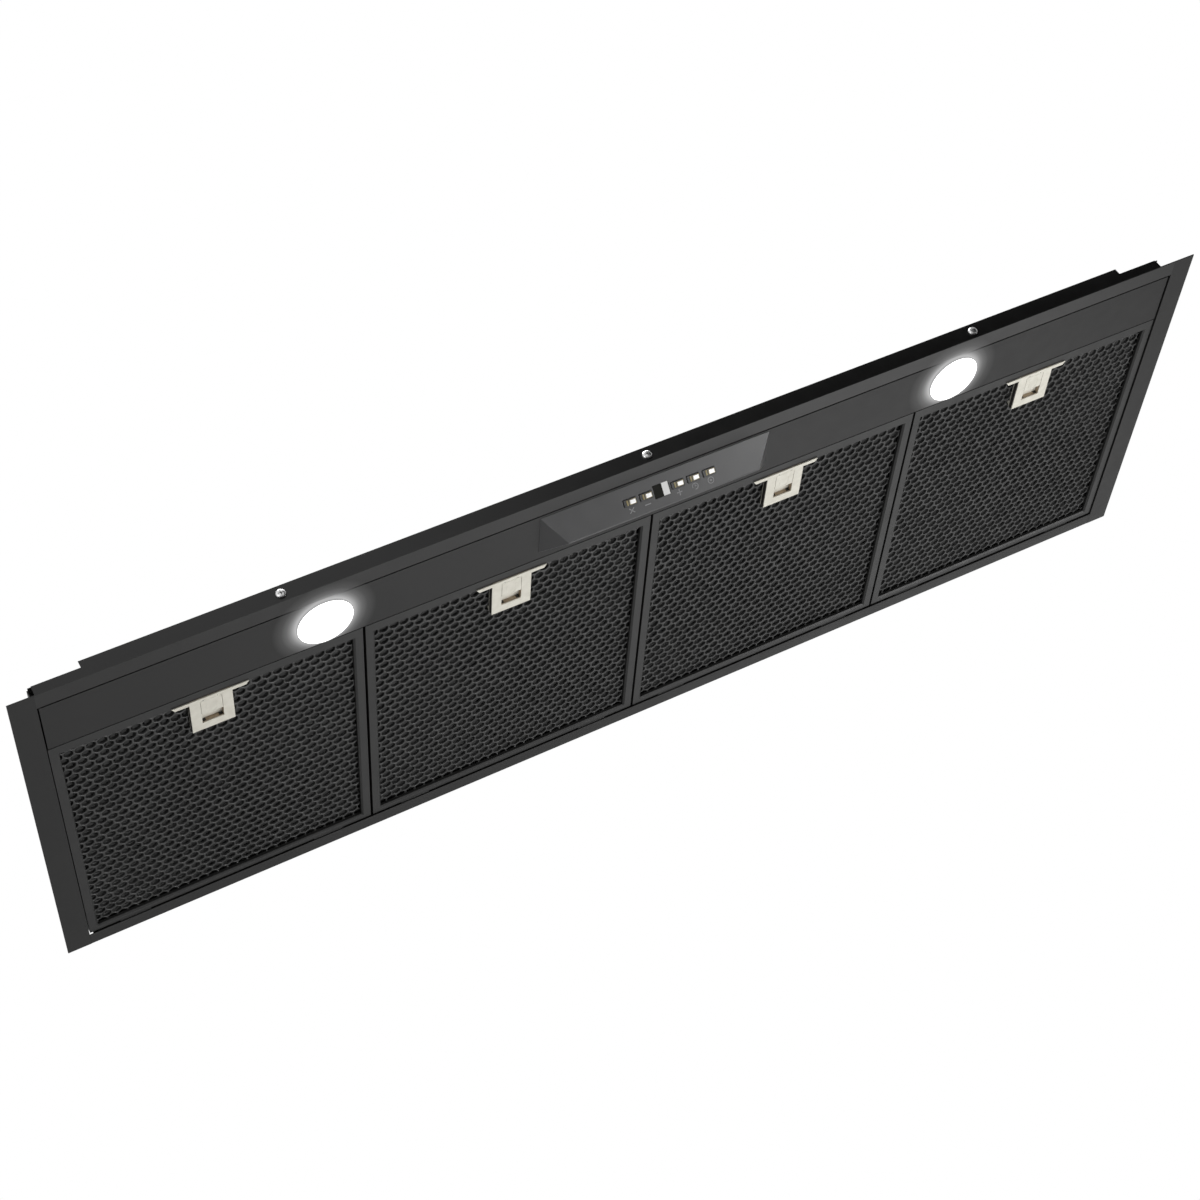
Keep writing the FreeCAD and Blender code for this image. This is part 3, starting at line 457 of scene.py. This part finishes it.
def lamp_housing():
    """Black moulded lamp body, with a painted glow of the lens's light on its rim."""
    mat = plain_plastic("lamp_metal", (0.03, 0.03, 0.032), 0.4, 1500)
    # painted glow: emission on the rim that stands in for the lit lens's light
    painted_lamp_glow(mat.node_tree, mat.node_tree.nodes["Principled BSDF"])
    return mat


def key_pad_and_highlight():
    """Bright satin plating of the key pads, near white and mostly diffuse: partly the pad, partly a painted
    highlight of the chrome keys.
    """
    mat, tree, shader = new_material("key_pad_and_highlight", (0.92, 0.92, 0.91), 0.3, metallic=0.25)
    tint(tree, shader, add_noise(tree, 300), (0.88, 0.88, 0.87), (0.94, 0.94, 0.93))
    add_bump(tree, shader, add_noise(tree, 1800), 0.01 * MM, 0.4)
    return mat


def lens_glow():
    """Lit, frosted lamp lens."""
    mat, tree, shader = new_material("lens_glow", (0.9, 0.9, 0.9), 0.35)
    shader.inputs["Emission Color"].default_value = (1, 0.985, 0.96, 1)
    shader.inputs["Emission Strength"].default_value = 2.5
    add_bump(tree, shader, add_noise(tree, 1800), 0.04 * MM, 0.4)
    return mat


def display_glass():
    """Gloss window: black to the left, and a pale lit field in its right half."""
    mat, tree, shader = new_material("display_glass", (0.01, 0.01, 0.01), 0.12, specular=0.2)
    low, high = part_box("display_window")
    ramp = tree.nodes.new("ShaderNodeValToRGB")
    tree.links.new(along_axis(tree, "X", low.x, high.x), ramp.inputs["Fac"])
    ramp.color_ramp.interpolation = "CONSTANT"
    black = (0.008, 0.008, 0.006)
    set_stops(ramp, ((0, black), (0.56, (0.72, 0.72, 0.71)), (0.94, black)))
    tree.links.new(ramp.outputs["Color"], shader.inputs["Base Color"])
    tree.links.new(spread(tree, add_noise(tree, 90), 0.1, 0.15), shader.inputs["Roughness"])
    return mat


def board_green():
    """Solder mask with the darker patches of its copper."""
    mat, tree, shader = new_material("board_green", (0.03, 0.16, 0.07), 0.35)
    tint(tree, shader, add_noise(tree, 300), (0.02, 0.11, 0.05), (0.04, 0.2, 0.09))
    return mat


MATERIALS = {
    "black_paint": powder_coat("powder_coat", 0.42, 0.25),
    "screw_steel": metal("screw_steel", (0.72, 0.72, 0.72), 0.34),
    "lamp_metal": lamp_housing(),
    "lamp_lens": lens_glow(),
    "black_plastic": plain_plastic("black_plastic", (0.03, 0.03, 0.032), 0.48),
    "driver_plastic": plain_plastic("driver_plastic", (0.5, 0.51, 0.52), 0.5),
    "pod_plastic": pod_plastic(),
    "button_chrome": key_pad_and_highlight(),
    "display_black": display_glass(),
    "board_green": board_green(),
    "filter_black": filter_coat(),
    "latch_cream": latch_plastic(),
    "motor_steel": metal("motor_steel", (0.5, 0.5, 0.51), 0.35, (1, 8, 8)),
    "galvanised": galvanised(),
}
FRONT_COAT = powder_coat("front_coat", 0.33, 0.36)
MESH_COAT = mesh_coat()
MESH_WALL = mesh_wall()
MESH_FLOOR = mesh_floor()
MESH_DEPTH = mesh_depth()
PRINT_INK = plain_plastic("print_ink", (0.2, 0.2, 0.205), 0.55, 600)
KEY_DARK = plain_plastic("key_dark", (0.02, 0.02, 0.02), 0.35, 1500)
KEY_AMBER = plain_plastic("key_amber", (0.27, 0.22, 0.1), 0.3, 1500)
# painted shade of the screws' cross recesses
PAINTED_RECESS_SHADE = metal("painted_recess_shade", (0.22, 0.22, 0.22), 0.5)


def finish_nodes():
    """Give every solid the material of its slot, and soften the edges of the folded and moulded ones."""
    for part in frame["record"]["subparts"]:
        item = nodes[part["node"]]
        slot = part["material_slot"]
        item.data.materials.clear()
        item.data.materials.append(FRONT_COAT if part["node"] == "front_rail" else MATERIALS[slot])
        if slot in BEVELS and not part["node"].startswith(SHARP_NODES):
            weld = item.modifiers.new("weld", "WELD")
            weld.merge_threshold = MERGE_REACH
            soften(item, BEVELS[slot])


def soften(item, width):
    """Round the edges that turn by more than a small angle."""
    bevel = item.modifiers.new("edge", "BEVEL")
    bevel.width = width
    bevel.segments = 2
    bevel.limit_method = "ANGLE"
    bevel.angle_limit = BEVEL_ANGLE
    bevel.use_clamp_overlap = True


def add_piece(name, bm, mats, body, smooth=True):
    """Turn a built mesh into a piece that rides on a body."""
    bmesh.ops.recalc_face_normals(bm, faces=bm.faces)
    mesh = bpy.data.meshes.new(name)
    bm.to_mesh(mesh)
    bm.free()
    for mat in mats:
        mesh.materials.append(mat)
    for face in mesh.polygons:
        face.use_smooth = smooth
    item = bpy.data.objects.new(name, mesh)
    bpy.context.scene.collection.objects.link(item)
    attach(item, body)
    return item


def bridge(bm, near, far, mat):
    """Faces between two rings; a ring of one point closes an end."""
    steps = max(len(near), len(far))
    for step in range(steps):
        after = (step + 1) % steps
        corners = (near[step % len(near)], near[after % len(near)],
                   far[after % len(far)], far[step % len(far)])
        bm.faces.new(dict.fromkeys(corners)).material_index = mat


def lathe(bm, profile, steps, matrix, mat=0):
    """Turned shape from (radius, height) points; a radius of zero closes an end."""
    rings = []
    for radius, height in profile:
        count = steps if radius else 1
        turns = [math.tau * step / count for step in range(count)]
        points = [Vector((radius * math.cos(turn), radius * math.sin(turn), height)) for turn in turns]
        rings.append([bm.verts.new(matrix @ point) for point in points])
    for near, far in zip(rings, rings[1:]):
        bridge(bm, near, far, mat)


def block(bm, low, high, matrix=Matrix.Identity(4), mat=0):
    """Box between two corners."""
    corners = [bm.verts.new(matrix @ Vector((x, y, z)))
               for x in (low[0], high[0]) for y in (low[1], high[1]) for z in (low[2], high[2])]
    for ring in ((0, 1, 3, 2), (4, 6, 7, 5), (0, 4, 5, 1), (2, 3, 7, 6), (0, 2, 6, 4), (1, 5, 7, 3)):
        bm.faces.new([corners[index] for index in ring]).material_index = mat


def band(bm, radius, width, height, start, sweep, matrix):
    """Flat ring or arc of a given width, standing on the local plane and rising to a height."""
    steps = max(6, int(24 * sweep / math.tau))
    rings = []
    for step in range(steps + 1):
        turn = start + sweep * step / steps
        heading = Vector((math.cos(turn), math.sin(turn), 0))
        inner, outer = heading * (radius - width / 2), heading * (radius + width / 2)
        rise = Vector((0, 0, height))
        rings.append([bm.verts.new(matrix @ point) for point in (inner, outer, outer + rise, inner + rise)])
    for near, far in zip(rings, rings[1:]):
        bridge(bm, near, far, 0)
    for end in (rings[0], rings[-1]):
        bm.faces.new(end)


def cell_places(low, high, shift, tilt):
    """Middles of staggered cells that touch a rectangle."""
    origin = Vector(((low.x + high.x) / 2 + shift[0], (low.y + high.y) / 2 + shift[1]))
    turn = Matrix.Rotation(tilt, 2)
    reach_x = int((high.x - low.x) / CELL_PITCH / 2) + 2
    reach_y = int((high.y - low.y) / CELL_ROW / 2) + 2
    margin = CELL_PITCH / 2
    for row in range(-reach_y, reach_y + 1):
        for column in range(-reach_x, reach_x + 1):
            step = Vector(((column + 0.5 * (row % 2)) * CELL_PITCH, row * CELL_ROW))
            middle = origin + turn @ step
            inside_x = low.x - margin < middle.x < high.x + margin
            if inside_x and low.y - margin < middle.y < high.y + margin:
                yield middle


def keep_inside(place, low, high, latch):
    """Hold a point in the filter's opening and out of the latch that stands at its front."""
    x = min(max(place.x, low.x), high.x)
    y = min(max(place.y, low.y), high.y)
    into_side = LATCH_HALF - abs(x - latch.x)
    into_rear = latch.y - y
    if into_side > 0 and into_rear > 0:
        if into_side < into_rear:
            x += math.copysign(into_side, x - latch.x)
        else:
            y += into_rear
    return x, y


def honeycomb(bm, field, sheet, base, tilt, chance):
    """Sheet of six-sided cells in a field between two corners and around the latch. Each hole wanders from
    its cell's middle."""
    low, high, latch = field
    levels, hole, wander, shift = sheet
    for middle in cell_places(low, high, shift, tilt):
        if abs(middle.x - latch.x) < LATCH_HALF - CELL_PITCH and middle.y < latch.y - CELL_PITCH:
            continue
        drift = Vector((chance.uniform(-wander, wander), chance.uniform(-wander, wander)))
        radius = hole / 2 * chance.uniform(*CELL_SPREAD)
        rings = []
        for share, height, _ in levels:
            ring = []
            for side in range(CELL_SIDES):
                angle = tilt + math.tau * side / CELL_SIDES
                heading = Vector((math.cos(angle), math.sin(angle)))
                outer = heading * CELL_PITCH / 2 * (CELL_CORNER_SHARE if side % 2 else 1)
                inner = drift + heading * radius
                place = middle + outer * share + inner * (1 - share)
                ring.append(bm.verts.new((*keep_inside(place, low, high, latch), base + height)))
            rings.append(ring)
        for near, far, (_, _, mat) in zip(rings, rings[1:], levels):
            bridge(bm, near, far, mat)


def clear_latch(bm, latch):
    """Take away the faces that would cut across the latch's rear corners, where its slider runs."""
    crossing = []
    for face in bm.faces:
        middle = face.calc_center_median()
        if abs(middle.x - latch.x) < LATCH_HALF - LATCH_EASE and middle.y < latch.y - LATCH_EASE:
            crossing.append(face)
    bmesh.ops.delete(bm, geom=crossing, context="FACES")


def mesh_border(bm, low, high, latch, height):
    """Flat edge of the sheets in the frame's groove, left open where the latch passes."""
    inner_low = low + Vector((MESH_GRIP, MESH_GRIP, 0))
    inner_high = high - Vector((MESH_GRIP, MESH_GRIP, 0))
    for x_low, x_high, y_low, y_high in (
            (low.x, inner_low.x, low.y, high.y),
            (inner_high.x, high.x, low.y, high.y),
            (inner_low.x, inner_high.x, inner_high.y, high.y),
            (inner_low.x, latch.x - LATCH_HALF, low.y, inner_low.y),
            (latch.x + LATCH_HALF, inner_high.x, low.y, inner_low.y)):
        block(bm, (x_low, y_low, height[0]), (x_high, y_high, height[1]), mat=COAT)


def mesh_backing(bm, field, height):
    """Plain sheet inside the filter, beside and behind the latch."""
    low, high, latch = field
    for x_low, x_high, y_low in (
            (low.x, latch.x - LATCH_HALF, low.y),
            (latch.x - LATCH_HALF, latch.x + LATCH_HALF, latch.y),
            (latch.x + LATCH_HALF, high.x, low.y)):
        block(bm, (x_low, y_low, height[0]), (x_high, high.y, height[1]), mat=DEPTH)


def make_filter_mesh(number):
    """Cupped honeycomb sheet, a second one that floors its cells, a plain sheet and a rear honeycomb."""
    low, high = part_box("filter_mesh_%d" % number)
    latch_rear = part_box("latch_plate_%d" % number)[1].y
    latch = Vector(((low.x + high.x) / 2, latch_rear + LATCH_GAP))
    grip = Vector((MESH_GRIP, MESH_GRIP, 0))
    field = (low + grip, high - grip, latch)
    tilt = math.radians(MESH_TILTS[number - 1])
    chance = random.Random(number)
    bm = bmesh.new()
    face = low.z
    floor = face + CELL_DEPTH
    back = floor + FLOOR_GAUGE
    rear = back + BACK_GAUGE
    honeycomb(bm, field, CUPS, face, tilt, chance)
    honeycomb(bm, field, FLOORS, floor, -tilt, chance)
    honeycomb(bm, field, CRESTS, rear, tilt, chance)
    bmesh.ops.remove_doubles(bm, verts=bm.verts, dist=MERGE_REACH)
    bmesh.ops.dissolve_degenerate(bm, edges=bm.edges, dist=MERGE_REACH)
    clear_latch(bm, latch)
    mesh_border(bm, low, high, latch, (face + BORDER_GAP, high.z - BORDER_GAP))
    mesh_backing(bm, field, (back, rear))
    mats = [MESH_COAT, MESH_WALL, MESH_FLOOR, MESH_DEPTH]
    mesh = add_piece("mesh_%d" % number, bm, mats, "filter_%d" % number)
    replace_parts(mesh, "filter_mesh_%d" % number)


def make_latch_marks(number):
    """Two dark dots on the latch's cross bar, painted shade of its dimples, and the faint arch that the slider's
    face carries.
    """
    plate_low, plate_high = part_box("latch_plate_%d" % number)
    middle = (plate_low.x + plate_high.x) / 2
    bm = bmesh.new()
    # painted shade: a dark disc where each dimple is
    for aside in DIMPLES:
        place = Matrix.Translation((middle + aside, plate_low.y + DIMPLE_SETBACK, plate_low.z))
        lathe(bm, DIMPLE_PROFILE, 16, place)
    add_piece("latch_dimples_%d" % number, bm, [KEY_DARK], "filter_%d" % number)
    bm = bmesh.new()
    foot = plate_low.y + ARCH_SETBACK
    head = foot + ARCH_LEG
    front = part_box("latch_slider_%d" % number)[0].z - ARCH_PROUD
    crown = Matrix.Translation((middle, head, front))
    band(bm, ARCH_RADIUS, ARCH_WIDTH, ARCH_GAUGE, 0, math.pi, crown)
    for side in (-1, 1):
        x = middle + side * ARCH_RADIUS
        block(bm, (x - ARCH_WIDTH / 2, foot, front), (x + ARCH_WIDTH / 2, head, front + ARCH_GAUGE))
    add_piece("latch_arch_%d" % number, bm, [MATERIALS["latch_cream"]], "latch_%d" % number,
              smooth=False)


def on_face(x, down):
    """Local axes on the pod's tilted face: x along it, y down it, z into the pod."""
    into = Vector(joints["press_power"]["axis"])
    along = Vector((1, 0, 0))
    downward = into.cross(along)
    low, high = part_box("control_pod")
    origin = Vector((x, low.y, high.z)) + downward * down
    turn = Matrix((along, downward, into)).transposed().to_4x4()
    return Matrix.Translation(origin) @ turn


def make_key(name):
    """Dark key with an amber window and a raised bright pad on an amber bed; the pad is cut to the size of the
    chrome's highlight, a painted highlight.
    """
    place = on_face(centre_of("button_" + name).x, KEY_DOWN)
    step = KEY_STEP - KEY_PROUD
    bm = bmesh.new()
    block(bm, (-KEY_HALF, -KEY_REACH, step), (KEY_HALF, KEY_REACH, KEY_STEM), place, 0)
    block(bm, KEY_COLLAR_LOW, KEY_COLLAR_HIGH, place, 0)
    # the bright pad among these is a painted highlight of the chrome key
    for left, right, half, sink, mat in KEY_DRESS:
        block(bm, (left, -half, sink - KEY_PROUD), (right, half, step + KEY_ROOT), place, mat)
    mats = [KEY_DARK, MATERIALS["button_chrome"], KEY_AMBER]
    key = add_piece("dressed_" + name, bm, mats, "key_" + name, smooth=False)
    soften(key, KEY_EDGE)
    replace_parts(key, "button_" + name)


def stroke(bm, place, length, width, turn=0):
    """Printed bar, turned by some degrees on the face."""
    block(bm, (-length / 2, -width / 2, -INK_PROUD), (length / 2, width / 2, INK_ROOT),
          place @ Matrix.Rotation(math.radians(turn), 4, "Z"))


def printed_band(bm, place, radius, start=0, sweep=math.tau):
    """Printed ring or arc."""
    raised = Matrix.Translation((0, 0, -INK_PROUD))
    band(bm, radius, FINE_STROKE, INK_PROUD + INK_ROOT, start, sweep, place @ raised)


def make_symbols():
    """Printed signs below the keys: a cross, minus, plus, a clock and a lamp."""
    bm = bmesh.new()
    places = {name: on_face(centre_of("button_" + name).x, SYMBOL_DOWN) for name in KEYS}
    for turn in (CROSS_TURN, -CROSS_TURN):
        stroke(bm, places["power"], CROSS_LENGTH, STROKE, turn)
    stroke(bm, places["minus"], BAR_LENGTH, STROKE)
    stroke(bm, places["plus"], PLUS_WIDTH, STROKE)
    stroke(bm, places["plus"], BAR_LENGTH, STROKE, 90)
    printed_band(bm, places["timer"], CLOCK_RADIUS, CLOCK_START, CLOCK_SWEEP)
    for x, y, length, turn in CLOCK_HANDS:
        stroke(bm, places["timer"] @ Matrix.Translation((x, y, 0)), length, HAND_STROKE, turn)
    printed_band(bm, places["light"], LIGHT_RADIUS)
    printed_band(bm, places["light"], LIGHT_DOT)
    add_piece("key_symbols", bm, [PRINT_INK], "hood", smooth=False)


def add_screw(bm, place, sizes):
    """Pan-head screw with a dark cross laid on its head, painted shade of a cross recess; local z points out of
    its head.
    """
    head, height, shank, length = sizes
    profile = [(0, height), (0.62 * head, height), (0.88 * head, 0.72 * height), (head, 0.3 * height),
               (head, 0), (shank, 0), (shank, -length), (0, -length)]
    lathe(bm, profile, 32, place, 0)
    # painted shade: a dark cross that stands in for the shade of the recess
    arm, half = 0.56 * head, 0.12 * head
    for x, y in ((arm, half), (half, arm)):
        block(bm, (-x, -y, 0.7 * height), (x, y, height + 0.02 * MM), place, 1)


def make_screws():
    """Cross-recessed screws at the front upstand and on the junction box's lid."""
    mats = [MATERIALS["screw_steel"], PAINTED_RECESS_SHADE]
    low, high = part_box("front_screws")
    head, height = FRONT_SCREW[:2]
    outward = Matrix.Rotation(math.radians(90), 4, "X")
    bm = bmesh.new()
    for x in (low.x + head, 0, high.x - head):
        seat = Matrix.Translation((x, low.y + height, (low.z + high.z) / 2))
        add_screw(bm, seat @ outward, FRONT_SCREW)
    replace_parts(add_piece("cross_screws", bm, mats, "hood"), "front_screws")
    low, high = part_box("lid_screws")
    head, height = LID_SCREW[:2]
    bm = bmesh.new()
    for x in (low.x + head, high.x - head):
        for y in (low.y + head, high.y - head):
            add_screw(bm, Matrix.Translation((x, y, high.z - height)), LID_SCREW)
    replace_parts(add_piece("cross_lid_screws", bm, mats, "hood"), "lid_screws")


def make_rivets():
    """Blind rivets that join the plenum's roof to its front and rear sheets."""
    low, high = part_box("plenum_top")
    run = high.x - low.x - 2 * RIVET_INSET
    bm = bmesh.new()
    for step in range(RIVET_COUNT):
        x = low.x + RIVET_INSET + run * step / (RIVET_COUNT - 1)
        for y in (low.y + RIVET_INSET, high.y - RIVET_REAR_INSET):
            lathe(bm, RIVET_DOME, 16, Matrix.Translation((x, y, high.z)))
    add_piece("roof_rivets", bm, [MATERIALS["black_paint"]], "hood")


def make_camera():
    """Camera at the photograph's angle, level with the image's frame by its roll."""
    data = bpy.data.cameras.new("camera")
    data.sensor_width = CAMERA_SENSOR
    data.lens = CAMERA_LENS
    data.clip_end = 100
    camera = bpy.data.objects.new("camera", data)
    bpy.context.scene.collection.objects.link(camera)
    look = Vector((math.sin(CAMERA_HEADING) * math.cos(CAMERA_RISE),
                   math.cos(CAMERA_HEADING) * math.cos(CAMERA_RISE), math.sin(CAMERA_RISE)))
    camera.location = CAMERA_PLACE
    camera.rotation_mode = "QUATERNION"
    camera.rotation_quaternion = look.to_track_quat("-Z", "Y") @ Quaternion((0, 0, 1), CAMERA_ROLL)
    bpy.context.scene.camera = camera


def link_background(tree, socket, dim, bright):
    """Strength of a background: bright where the camera or a reflection looks, and dim as light."""
    path = tree.nodes.new("ShaderNodeLightPath")
    seen = path.outputs["Is Camera Ray"]
    for name in ("Is Glossy Ray", "Is Transmission Ray"):
        either = tree.nodes.new("ShaderNodeMath")
        either.operation = "MAXIMUM"
        tree.links.new(seen, either.inputs[0])
        tree.links.new(path.outputs[name], either.inputs[1])
        seen = either.outputs[0]
    level = tree.nodes.new("ShaderNodeMapRange")
    level.inputs["To Min"].default_value = dim
    level.inputs["To Max"].default_value = bright
    tree.links.new(seen, level.inputs["Value"])
    tree.links.new(level.outputs["Result"], socket)


def make_world():
    """White where the camera or a reflection looks, and dim as light."""
    world = bpy.data.worlds.new("studio")
    world.use_nodes = True
    bpy.context.scene.world = world
    tree = world.node_tree
    background = tree.nodes["Background"]
    background.inputs["Color"].default_value = (1, 1, 1, 1)
    link_background(tree, background.inputs["Strength"], WORLD_LIGHT, 1)


def stage_sheet(name, corners, dark, light):
    """Flat sheet of the studio, between four corners."""
    mat, tree, shader = new_material(name, light, 0.8, specular=0.2)
    tint(tree, shader, add_noise(tree, 3), dark, light)
    mesh = bpy.data.meshes.new(name)
    mesh.from_pydata(corners, [], [(0, 1, 2, 3)])
    mesh.materials.append(mat)
    sheet = bpy.data.objects.new(name, mesh)
    bpy.context.scene.collection.objects.link(sheet)
    return sheet


def make_floor():
    """Pale floor below every place that a camera takes, lifted a little where it is seen."""
    reach = FLOOR_REACH
    corners = [(x * reach, y * reach, FLOOR_HEIGHT) for x, y in ((-1, -1), (1, -1), (1, 1), (-1, 1))]
    floor = stage_sheet("floor", corners, (0.78, 0.78, 0.77), (0.82, 0.82, 0.81))
    tree = floor.active_material.node_tree
    shader = tree.nodes["Principled BSDF"]
    shader.inputs["Emission Color"].default_value = (1, 1, 1, 1)
    link_background(tree, shader.inputs["Emission Strength"], 0, FLOOR_GLOW)


def make_card():
    """Black card above the camera's right, which the right part of the front upstand mirrors."""
    (left, right), (low, high) = CARD_X, CARD_Z
    corners = [(x, CARD_Y, z) for x, z in ((left, low), (right, low), (right, high), (left, high))]
    card = stage_sheet("black_card", corners, (0.01, 0.01, 0.01), (0.014, 0.014, 0.014))
    card.visible_camera = False


def make_light(name, place, aim, size, power):
    """Soft rectangular lamp that the camera doesn't see."""
    data = bpy.data.lights.new(name, "AREA")
    data.shape = "RECTANGLE"
    data.size, data.size_y = size
    data.energy = power
    lamp = bpy.data.objects.new(name, data)
    bpy.context.scene.collection.objects.link(lamp)
    lamp.location = place
    lamp.rotation_mode = "QUATERNION"
    lamp.rotation_quaternion = (Vector(aim) - Vector(place)).to_track_quat("-Z", "Y")
    lamp.visible_camera = False


def make_stage():
    make_world()
    make_floor()
    make_card()
    for lamp in STUDIO_LAMPS:
        make_light(*lamp)


finish_nodes()
for filter_number in FILTERS:
    make_filter_mesh(filter_number)
    make_latch_marks(filter_number)
for key_name in KEYS:
    make_key(key_name)
make_symbols()
make_screws()
make_rivets()
make_camera()
make_stage()
bpy.context.scene.view_settings.view_transform = "Standard"
